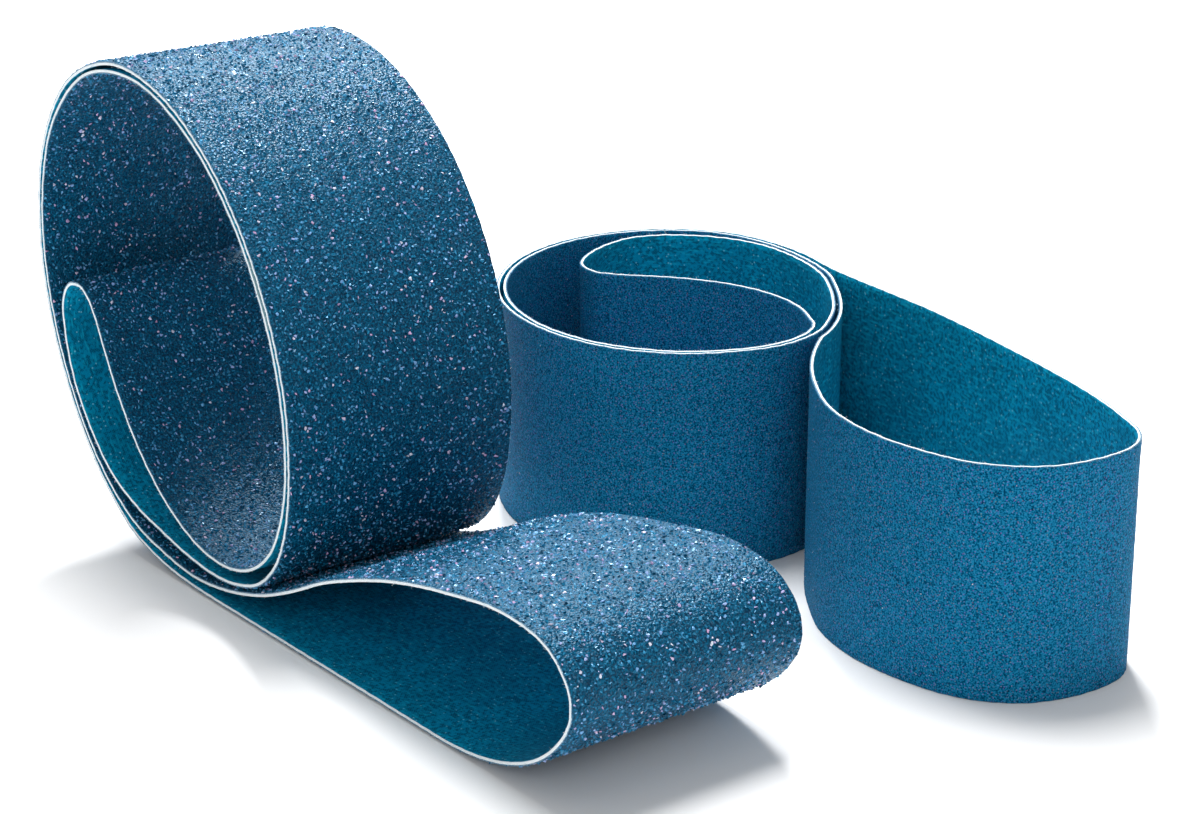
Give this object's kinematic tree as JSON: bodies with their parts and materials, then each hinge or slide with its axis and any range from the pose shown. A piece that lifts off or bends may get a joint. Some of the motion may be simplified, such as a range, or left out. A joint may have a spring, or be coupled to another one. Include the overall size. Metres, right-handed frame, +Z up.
{
  "type": "abrasive belt set",
  "caption": "Coarse and fine endless cloth abrasive belts for a belt grinder, each rolled up with its free end sprung open into a tail.",
  "frame": {"origin": "middle of the two belts' footprint, on the surface that they stand on", "axes": "+Z up; the width of the coarse belt runs along X; both tails point to -Y"},
  "size_m": [0.2198, 0.2938, 0.1527],
  "materials": {
    "backing_cloth": "dyed polyester cloth",
    "make_coat": "cured resin",
    "coarse_grain": "rough open grain",
    "fine_grain": "fine matte grain",
    "splice_tape": "thin film"
  },
  "bodies": {
    "coarse_belt": {"coarse_backing_cloth": "backing_cloth", "coarse_make_coat": "make_coat", "coarse_abrasive_grain": "coarse_grain", "coarse_splice_tape": "splice_tape"},
    "fine_belt": {"fine_backing_cloth": "backing_cloth", "fine_make_coat": "make_coat", "fine_abrasive_grain": "fine_grain", "fine_splice_tape": "splice_tape"}
  },
  "joints": [
    {"name": "fine_belt_lift", "type": "slide", "parent": "coarse_belt", "child": "fine_belt", "axis": [0, 0, 1], "range_m": [0, 0.2]}
  ]
}
